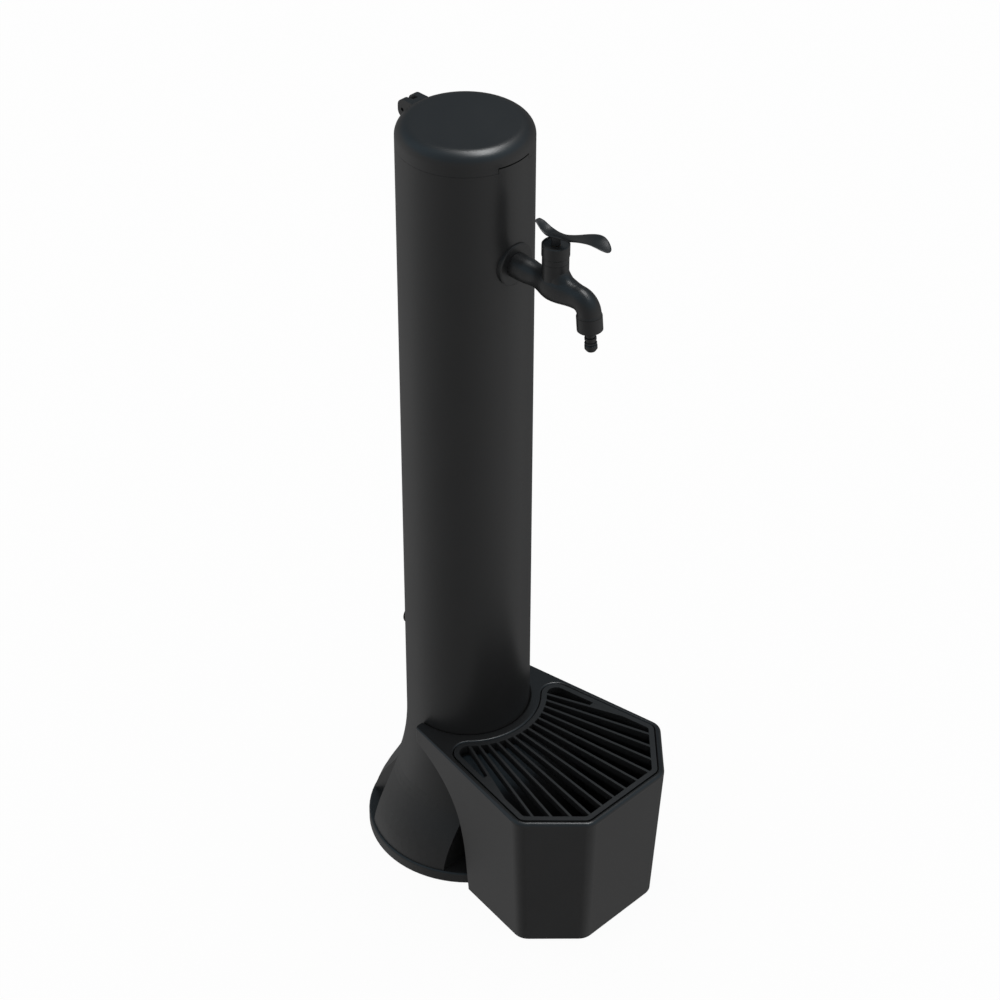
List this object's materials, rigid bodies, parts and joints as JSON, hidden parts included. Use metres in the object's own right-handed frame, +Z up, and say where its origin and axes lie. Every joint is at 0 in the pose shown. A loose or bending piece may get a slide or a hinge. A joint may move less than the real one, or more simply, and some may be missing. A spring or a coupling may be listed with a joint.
{
  "type": "garden fountain with bucket",
  "caption": "Free-standing plastic garden fountain: a round column with a flared foot and hinged lid, a lever tap at the front and a faceted drip bucket with a lift-out grate.",
  "frame": {"origin": "on the ground at the column's axis, centre of the four ground anchor holes", "axes": "+Z up along the column, -Y towards the tap and the bucket, +X to the right seen from the front"},
  "size_m": [0.2513, 0.3918, 0.994],
  "materials": {
    "column_plastic": "fine-grained satin moulding",
    "lid_plastic": "fine-grained satin moulding",
    "bucket_plastic": "fine-grained satin moulding",
    "grate_plastic": "fine-grained satin moulding",
    "tap_plastic": "satin moulding",
    "brass": "turned",
    "steel": "plain",
    "rubber": "matte",
    "ceramic": "polished"
  },
  "bodies": {
    "column": {"column": "column_plastic", "lid_hinge_pin": "steel", "tap_body": "tap_plastic", "tap_rosette": "tap_plastic", "tap_bonnet": "tap_plastic", "fixed_disc": "ceramic", "disc_cage": "brass", "seat_seal": "rubber", "hose_connector": "tap_plastic", "connector_washer": "rubber", "connector_o_ring": "rubber", "wall_washer": "rubber", "wall_nut": "brass", "inner_elbow": "brass", "riser_hose": "steel", "hose_ferrules": "steel", "hose_nuts": "brass", "hose_washers": "rubber", "inlet_fitting": "brass", "inlet_gasket": "rubber", "inlet_lock_nut": "brass"},
    "lid": {"lid": "lid_plastic"},
    "lever": {"tap_handle": "tap_plastic", "handle_grub_screw": "steel", "tap_spindle": "brass", "spindle_o_rings": "rubber", "turning_disc": "ceramic"},
    "bucket": {"bucket": "bucket_plastic"},
    "grate": {"grate": "grate_plastic"}
  },
  "joints": [
    {"name": "lid_hinge", "type": "hinge", "parent": "column", "child": "lid", "pos_m": [0, 0.083, 0.979], "axis": [-1, 0, 0], "range_deg": [0, 110]},
    {"name": "tap_turn", "type": "hinge", "parent": "column", "child": "lever", "pos_m": [0, -0.1335, 0.86], "axis": [0, 0, 1], "range_deg": [0, 90]},
    {"name": "bucket_slide", "type": "slide", "parent": "column", "child": "bucket", "axis": [0, -1, 0], "range_m": [0, 0.3]},
    {"name": "grate_lift", "type": "slide", "parent": "bucket", "child": "grate", "axis": [0, 0, 1], "range_m": [0, 0.15]}
  ]
}
